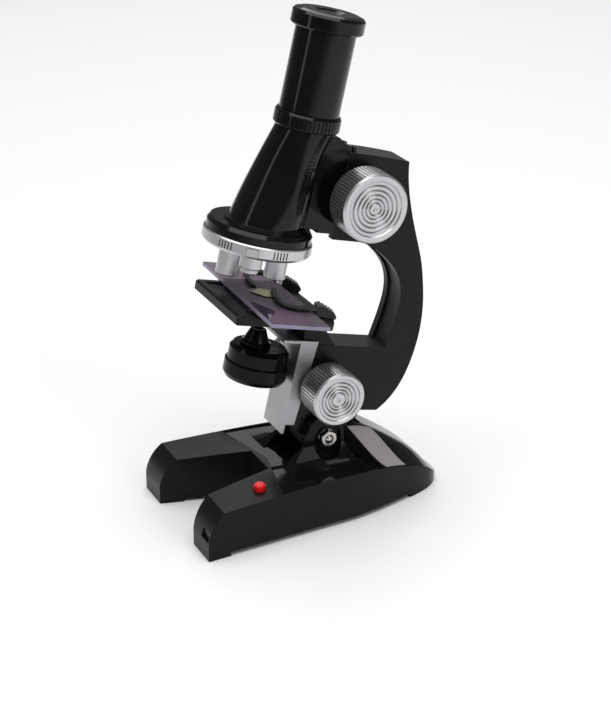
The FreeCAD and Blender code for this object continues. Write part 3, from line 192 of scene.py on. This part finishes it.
# ------------------------------------------------------------------ material graph
class Graph:
    """One material's node tree, with short calls for the nodes that the finishes use."""

    def __init__(self, name):
        self.material = bpy.data.materials.new(name)
        self.material.use_nodes = True
        self.tree = self.material.node_tree
        self.shader = self.tree.nodes["Principled BSDF"]
        self.place = self.add("ShaderNodeTexCoord").outputs["Object"]
        self.normal = self.add("ShaderNodeNewGeometry").outputs["Normal"]

    def add(self, kind, **settings):
        made = self.tree.nodes.new(kind)
        for key, value in settings.items():
            setattr(made, key, value)
        return made

    def feed(self, socket, value):
        """Link a socket to a socket, or set it to a number or colour."""
        if isinstance(value, bpy.types.NodeSocket):
            self.tree.links.new(value, socket)
        else:
            socket.default_value = value

    def noise(self, scale, detail=3.0, roughness=0.55, vector=None):
        made = self.add("ShaderNodeTexNoise")
        self.feed(made.inputs["Vector"], self.place if vector is None else vector)
        self.feed(made.inputs["Scale"], scale)
        self.feed(made.inputs["Detail"], detail)
        self.feed(made.inputs["Roughness"], roughness)
        return made.outputs["Fac"]

    def stretched_noise(self, scale, detail, roughness=0.55, rotation=(0.0, 0.0, 0.0)):
        """Noise drawn out along one or two of its axes, for brushing and scratches."""
        stretch = self.add("ShaderNodeMapping")
        self.feed(stretch.inputs["Vector"], self.place)
        self.feed(stretch.inputs["Rotation"], rotation)
        self.feed(stretch.inputs["Scale"], scale)
        return self.noise(1.0, detail, roughness, stretch.outputs["Vector"])

    def remap(self, value, source, target=(0.0, 1.0), smooth=False):
        made = self.add("ShaderNodeMapRange", interpolation_type="SMOOTHSTEP" if smooth else "LINEAR")
        for key, number in zip(("From Min", "From Max", "To Min", "To Max"), (*source, *target)):
            made.inputs[key].default_value = number
        self.feed(made.inputs["Value"], value)
        return made.outputs["Result"]

    def maths(self, kind, *values):
        made = self.add("ShaderNodeMath", operation=kind)
        for socket, value in zip(made.inputs, values):
            self.feed(socket, value)
        return made.outputs[0]

    def mix(self, factor, a, b):
        """Mix two colours, each a socket or an (r, g, b)."""
        made = self.add("ShaderNodeMix", data_type="RGBA")
        self.feed(made.inputs["Factor"], factor)
        for key, colour in (("A", a), ("B", b)):
            self.feed(made.inputs[key], (*colour, 1.0) if isinstance(colour, tuple) else colour)
        return made.outputs["Result"]

    def axes(self, vector):
        made = self.add("ShaderNodeSeparateXYZ")
        self.feed(made.inputs[0], vector)
        return made.outputs


def rubbed_edges(g, rounded, wear):
    """How rubbed the surface is: more where the rounded-off normal leaves the true one."""
    dot = g.add("ShaderNodeVectorMath", operation="DOT_PRODUCT")
    g.feed(dot.inputs[0], rounded)
    g.feed(dot.inputs[1], g.normal)
    edge = g.remap(dot.outputs["Value"], (0.985, 0.80))
    rub = g.maths("MULTIPLY", edge, g.remap(g.noise(420.0, 4.0), (0.42, 0.62), (0.15, 1.0)))
    return g.maths("MULTIPLY", rub, wear)


def mottled_colour(g, colour, mottle, rub, wear_colour):
    """Slow mottling, then the paler rubbed edges."""
    dark = tuple(c * (1.0 - mottle) for c in colour)
    light = tuple(min(c * (1.0 + mottle) + 0.002, 1.0) for c in colour)
    tone = g.mix(g.remap(g.noise(55.0, 4.0), (0.35, 0.65)), dark, light)
    rubbed = wear_colour or tuple(min(c * 1.6 + 0.035, 1.0) for c in colour)
    return g.mix(rub, tone, rubbed)


def uneven_gloss(g, rough, matt, lines, rub):
    """Roughness with finger smudges and fine scratches, a little duller on rubbed edges."""
    smudged = (rough * (1.0 - SMUDGE), rough * (1.0 + SMUDGE * 1.6))
    gloss = g.remap(g.noise(38.0, 5.0), (0.3, 0.7), smudged)
    if matt is not None:
        gloss = g.maths("MULTIPLY", gloss, matt)
    gloss = g.maths("ADD", gloss, g.maths("MULTIPLY", lines, SCRATCH_DULLING * SCRATCHES))
    return g.maths("ADD", gloss, g.maths("MULTIPLY", rub, RUB_DULLING))


def relief(g, grain, brushed, matt, lines, rounded):
    """Moulded grain, brushing and scratches as bump over the rounded edges."""
    scale, depth = grain
    if matt is not None:
        depth = g.maths("MULTIPLY", depth, matt)
    height = g.maths("MULTIPLY", g.noise(scale, 2.0), depth)
    if brushed:
        comb, strength = brushed
        ridges = g.maths("MULTIPLY", g.stretched_noise(comb, 2.0), strength)
        height = g.maths("ADD", height, ridges)
    height = g.maths("SUBTRACT", height, g.maths("MULTIPLY", lines, SCRATCH_DEPTH * SCRATCHES))
    bump = g.add("ShaderNodeBump")
    g.feed(bump.inputs["Strength"], BUMP_STRENGTH)
    g.feed(bump.inputs["Distance"], BUMP_DISTANCE)
    g.feed(bump.inputs["Height"], height)
    g.feed(bump.inputs["Normal"], rounded)
    return bump.outputs["Normal"]


def finish(name, colour, rough, metallic=0.0, grain=(2600.0, 0.12), mottle=0.08, wear=0.35,
           wear_colour=None, coat=0.0, specular=0.5, brushed=None, transmission=0.0, ior=1.49,
           edge_radius=0.00035, polish=None, overlay=None):
    """A moulded or plated finish: fine grain, uneven gloss, faint scratches and rubbed edges.

    polish(g) may return a 0..1 mask of where the mould was polished.
    overlay(g, colour) may return a colour laid over the mottled one."""
    g = Graph(name)
    even = {"Metallic": metallic, "Specular IOR Level": specular, "Coat Weight": coat,
            "Coat Roughness": 0.08, "Transmission Weight": transmission, "IOR": ior}
    for key, value in even.items():
        g.feed(g.shader.inputs[key], value)
    bevel = g.add("ShaderNodeBevel", samples=4)
    g.feed(bevel.inputs["Radius"], edge_radius)
    rounded = bevel.outputs["Normal"]
    rub = rubbed_edges(g, rounded, wear)
    streaks = g.stretched_noise((90.0, 1500.0, 1500.0), 3.0, 0.7, (0.35, 0.5, 0.8))
    lines = g.remap(streaks, (0.64, 0.72))
    matt = g.maths("SUBTRACT", 1.0, g.maths("MULTIPLY", polish(g), POLISH)) if polish else None

    surface = mottled_colour(g, colour, mottle, rub, wear_colour)
    if overlay:
        surface = overlay(g, surface)
    g.feed(g.shader.inputs["Base Color"], surface)
    g.feed(g.shader.inputs["Roughness"], uneven_gloss(g, rough, matt, lines, rub))
    g.feed(g.shader.inputs["Normal"], relief(g, grain, brushed, matt, lines, rounded))
    return g.material


def polished_deck(g):
    """1 on the base's polished deck and hump, 0 on its satin legs and side walls."""
    where = g.axes(g.place)
    out = g.maths("ABSOLUTE", where["X"])
    front = g.maths("ADD", where["Y"], g.maths("MULTIPLY", out, DECK_SWEEP))
    behind_front = g.remap(front, DECK_FRONT, smooth=True)
    sideways = g.remap(g.maths("ABSOLUTE", g.axes(g.normal)["X"]), (0.75, 0.9), smooth=True)
    wall = g.maths("MULTIPLY", sideways, g.remap(out, DECK_WALL_X, smooth=True))
    return g.maths("MULTIPLY", behind_front, g.maths("SUBTRACT", 1.0, wall))


def painted_groove_shade(g, surface):
    """Painted shade: darken the bottoms of ribs and turned rings on the silver parts by ambient occlusion,
    where shade falls.
    """
    groove_shade_ao = g.add("ShaderNodeAmbientOcclusion", samples=8, only_local=True)
    g.feed(groove_shade_ao.inputs["Distance"], GROOVE_SHADE_REACH)
    # How much painted shade each groove gets, from how hollow it is.
    depth = g.remap(groove_shade_ao.outputs["AO"], (0.45, 0.92), (GROOVE_SHADE_STRENGTH, 0.0))
    return g.mix(depth, surface, tuple(c * GROOVE_SHADE for c in SILVER))


def veins_and_pale_front(g, surface):
    """The specimen's brown veins, and the paler end nearer the stage's front."""
    veins = g.add("ShaderNodeTexVoronoi", feature="DISTANCE_TO_EDGE")
    g.feed(veins.inputs["Scale"], 620.0)
    g.feed(veins.inputs["Vector"], g.place)
    near_vein = g.remap(veins.outputs["Distance"], (0.02, 0.10), (0.55, 0.0))
    veined = g.mix(near_vein, surface, (0.42, 0.27, 0.07))
    front = g.remap(g.axes(g.place)["Y"], (-0.0226, -0.0198), (0.85, 0.0))
    return g.mix(front, veined, (0.46, 0.43, 0.43))


# ------------------------------------------------------------------ finishes
def black_finishes():
    return {
        "base": finish("base_black", (0.0066, 0.0062, 0.0070), 0.31, grain=(2400, 0.16), specular=0.14,
                       polish=polished_deck, wear=0.16),
        "plate": finish("plate_black", (0.010, 0.010, 0.011), 0.48, grain=(1500, 0.5), specular=0.2),
        "arm": finish("arm_black", (0.0068, 0.0064, 0.0080), 0.26, grain=(2600, 0.10), specular=0.18,
                      wear=0.16),
        "arm_rim": finish("arm_satin_rim", (0.0300, 0.0265, 0.0275), 0.42, grain=(2200, 0.25), specular=0.24,
                          wear=0.2),
        "tube": finish("tube_black", (0.0028, 0.0027, 0.0036), 0.10, grain=(1800, 0.02), specular=0.27,
                       mottle=0.2, wear=0.10),
        "lamp": finish("lamp_black", (0.0028, 0.0028, 0.0034), 0.12, grain=(1800, 0.03), specular=0.14,
                       wear=0.12),
        "clip": finish("clip_black", (0.0060, 0.0060, 0.0068), 0.22, grain=(2200, 0.1), specular=0.30,
                       wear=0.2),
        "stage": finish("stage_grey", (0.0095, 0.0090, 0.0102), 0.34, grain=(2000, 0.25), mottle=0.12,
                        specular=0.17, wear=0.25),
        "switch": finish("switch_black", (0.03, 0.03, 0.032), 0.35, grain=(2400, 0.12)),
    }


def metal_finishes():
    return {
        # The silver parts get painted shade in their grooves.
        "silver": finish("silver_plastic", SILVER, 0.30, metallic=0.9, grain=(2200, 0.12), mottle=0.03,
                         wear=0.25, wear_colour=(0.80, 0.80, 0.81), edge_radius=0.00012,
                         overlay=painted_groove_shade),
        "bracket": finish("silver_bracket", (0.40, 0.39, 0.405), 0.36, metallic=0.85, grain=(2000, 0.15),
                          mottle=0.04, wear=0.3, wear_colour=(0.75, 0.75, 0.76),
                          brushed=((3000, 220, 220), 0.25)),
        "chrome": finish("bright_chrome", (0.50, 0.48, 0.46), 0.16, metallic=1.0, grain=(1500, 0.04),
                         mottle=0.03, wear=0.2, wear_colour=(0.85, 0.85, 0.85)),
        "steel": finish("plain_steel", (0.45, 0.45, 0.46), 0.30, metallic=1.0, grain=(3000, 0.1),
                        mottle=0.08, wear=0.3, brushed=((220, 4000, 4000), 0.3)),
        "label": finish("label_foil", (0.42, 0.385, 0.39), 0.36, metallic=0.35, grain=(5200, 0.22),
                        mottle=0.04, wear=0.4, wear_colour=(0.65, 0.62, 0.63),
                        brushed=((150, 3500, 3500), 0.15)),
        "contact": finish("contact_strip", (0.66, 0.62, 0.50), 0.22, metallic=1.0, grain=(2600, 0.1),
                          brushed=((2600, 150, 2600), 0.25)),
        "mirror": finish("mirror_face", (0.88, 0.89, 0.90), 0.05, metallic=1.0, grain=(500, 0.02),
                         mottle=0.02, wear=0.3),
    }


def coloured_finishes():
    return {
        "red": finish("button_red", (0.90, 0.014, 0.010), 0.25, grain=(2200, 0.05), specular=0.3,
                      wear=0.2, wear_colour=(0.85, 0.08, 0.05), edge_radius=0.0005),
        "ink": finish("dark_ink", (0.012, 0.001, 0.020), 0.30, grain=(4000, 0.2), mottle=0.25, wear=0.1,
                      specular=0.25),
        # A darker violet for the painted shadow of the near clip's finger on the slide.
        "finger_shadow": finish("violet_painted_shadow", (0.125, 0.078, 0.120), 0.22, grain=(4000, 0.2), mottle=0.12, wear=0.1,
                       specular=0.3),
        "gear": finish("gear_white", (0.74, 0.73, 0.68), 0.38, grain=(2400, 0.12), mottle=0.03),
        "board": finish("board_brown", (0.34, 0.20, 0.075), 0.5, grain=(1600, 0.4), mottle=0.18),
        "cell": finish("cell_jacket", (0.05, 0.07, 0.12), 0.25, metallic=0.3, grain=(2000, 0.06), coat=0.4),
        "specimen": finish("specimen_cream", (0.95, 0.82, 0.40), 0.24, grain=(1800, 0.2), mottle=0.25,
                           coat=0.5, overlay=veins_and_pale_front),
    }


def clear_finishes():
    return {
        "slide": finish("slide_clear", (0.33, 0.265, 0.335), 0.07, grain=(900, 0.05), mottle=0.05,
                        transmission=0.70, wear=0.7, wear_colour=(0.62, 0.58, 0.80), edge_radius=0.0002),
        "slide_rim": finish("slide_cut_edge", (0.36, 0.32, 0.44), 0.30, grain=(1500, 0.25), mottle=0.10,
                            transmission=0.25, wear=0.6, wear_colour=(0.72, 0.70, 0.86)),
        "lens": finish("lens_glass", (0.90, 0.95, 0.95), 0.02, grain=(300, 0.01), mottle=0.01,
                       transmission=0.95, wear=0.0, ior=1.52),
        "bulb": finish("bulb_glass", (0.98, 0.96, 0.88), 0.04, grain=(400, 0.02), mottle=0.01,
                       transmission=0.9, wear=0.0, ior=1.5),
    }


NODE_FINISH = {
    "base": ["base_shell"],
    "plate": ["base_bottom_plate", "battery_door"],
    "arm": ["arm_half_left", "arm_half_right", "stage_support"],
    "tube": ["body_cone", "tube_carriage", "lock_ring", "eyepiece_tube", "eyepiece_cap"],
    "lamp": ["lamp_housing", "lamp_snout"],
    "clip": ["clip_left", "clip_right"],
    "stage": ["stage_plate"],
    "silver": ["focus_knob_left", "focus_knob_right", "lower_knob_left", "lower_knob_right", "turret_disc",
               "objective_long", "objective_medium", "objective_short"],
    "bracket": ["lamp_bracket"],
    "chrome": ["tilt_bolt", "tilt_nut", "tilt_washers"],
    "steel": ["base_screws", "battery_door_screw", "arm_screws", "stage_screws", "turret_screw",
              "focus_shaft", "lower_shaft", "lamp_pin"],
    "red": ["switch_button"],
    "label": ["label_plate"],
    "slide": ["specimen_slide"],
    "gear": ["focus_pinion", "lower_pinion", "tube_rack", "lamp_rack"],
    "switch": ["switch_body", "lamp_socket"],
    "board": ["switch_board"],
    "cell": ["battery_left", "battery_right"],
    "contact": ["battery_contacts"],
    "lens": ["lens_long", "lens_medium", "lens_short", "eye_lens", "field_lens"],
    "bulb": ["lamp_bulb"],
    "mirror": ["lamp_mirror"],
}


def dress_nodes(finishes):
    for key, names in NODE_FINISH.items():
        for name in names:
            mesh = frame["nodes"][name].data
            mesh.materials.clear()
            mesh.materials.append(finishes[key])


def paint_faces(name, material, chosen):
    """Give the chosen faces of a CAD node a second finish."""
    mesh = frame["nodes"][name].data
    mesh.materials.append(material)
    for face in mesh.polygons:
        if chosen(face):
            face.material_index = 1


def paint_rims(finishes):
    """The slide's cut edges and the rims of the arm halves."""
    paint_faces("specimen_slide", finishes["slide_rim"],
                lambda face: abs(face.normal.dot(ARM_UP)) < 0.5)
    for name in ("arm_half_left", "arm_half_right"):
        paint_faces(name, finishes["arm_rim"], lambda face: abs(face.normal.x) < 0.4)


# ------------------------------------------------------------------ pieces
def mesh_object(name, bm, material):
    bmesh.ops.recalc_face_normals(bm, faces=bm.faces)
    mesh = bpy.data.meshes.new(name)
    bm.to_mesh(mesh)
    bm.free()
    mesh.materials.append(material)
    return add_object(name, mesh)


def flat_piece(name, outline, low, high, material, body):
    """A thin patch lying on the slide, from one height to another: used for the printed motif and for the
    sheet of painted shadow.
    """
    bm = bmesh.new()
    bottom = [bm.verts.new(on_slide(x, v, low)) for x, v in outline]
    top = [bm.verts.new(on_slide(x, v, high)) for x, v in outline]
    bm.faces.new(top)
    bm.faces.new(reversed(bottom))
    for i in range(len(outline)):
        j = (i + 1) % len(outline)
        bm.faces.new((bottom[i], bottom[j], top[j], top[i]))
    piece = mesh_object(name, bm, material)
    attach(piece, body)
    return piece


def make_slide_print_and_shadow(ink, finger_shadow):
    """The slide's printed right end, a dark pointed motif along its front edge, beside a darker violet sheet
    of painted shadow where the near clip's finger shades the slide.
    """
    motif = [(11.0, -49.2), (14.2, -47.6), (17.2, -45.4), (19.7, -43.7), (22.4, -43.4), (24.9, -44.3),
             (26.6, -46.2), (25.4, -47.0), (27.6, -48.3), (31.2, -49.3), (33.6, -50.2), (28.0, -50.5),
             (23.0, -50.5), (16.0, -50.4)]
    # Outline of the darker violet sheet of painted shadow, where the near clip's finger shades the slide.
    shadow_outline = [(19.5, -43.2), (22.4, -43.0), (25.6, -44.0), (27.6, -46.0), (29.6, -48.0), (34.6, -49.9),
             (37.4, -50.4), (37.4, -31.0), (30.0, -30.6), (24.0, -32.4), (20.6, -36.6)]
    dark = flat_piece("ink_motif", motif, INK_AND_SHADOW_BOTTOM, MOTIF_TOP, ink, "slide")
    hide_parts("slide_print")
    shadow_piece = flat_piece("painted_finger_shadow", shadow_outline, INK_AND_SHADOW_BOTTOM, SHADOW_PATCH_TOP, finger_shadow, "slide")


def specimen_point(share, angle):
    """A point of the specimen, at a share of the way from its middle to its rim."""
    corners = math.cos(3 * (angle - SPECIMEN_CORNER_ANGLE))
    radius = share * (SPECIMEN_RADIUS + SPECIMEN_CORNER * corners)
    dome = SPECIMEN_DOME * (1.0 - share * share)
    rise = SPECIMEN_RIM + dome + SPECIMEN_RIPPLE * share * math.sin(7 * angle)
    return on_slide(SPECIMEN_X + radius * math.cos(angle), SPECIMEN_V + radius * math.sin(angle), rise)


def make_specimen(material):
    """Thin scale-like specimen over the slide's well: three blunt corners, a low dome and a rippled rim."""
    rings, around = 6, 48
    bm = bmesh.new()
    middle = bm.verts.new(specimen_point(0.0, 0.0))
    angles = [2 * math.pi * i / around for i in range(around)]
    shares = [k / rings for k in range(1, rings + 1)]
    rows = [[bm.verts.new(specimen_point(share, angle)) for angle in angles] for share in shares]
    for i in range(around):
        j = (i + 1) % around
        bm.faces.new((middle, rows[0][i], rows[0][j]))
        for inner, outer in zip(rows, rows[1:]):
            bm.faces.new((inner[i], outer[i], outer[j], inner[j]))
    scale = mesh_object("specimen_scale", bm, material)
    for face in scale.data.polygons:
        face.use_smooth = True
    scale.modifiers.new("thickness", "SOLIDIFY").thickness = SPECIMEN_THICKNESS * MM
    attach(scale, "slide")
    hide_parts("slide_specimen")


make_camera()
make_studio()
FINISHES = {**black_finishes(), **metal_finishes(), **coloured_finishes(), **clear_finishes()}
dress_nodes(FINISHES)
paint_rims(FINISHES)
make_slide_print_and_shadow(FINISHES["ink"], FINISHES["finger_shadow"])
make_specimen(FINISHES["specimen"])
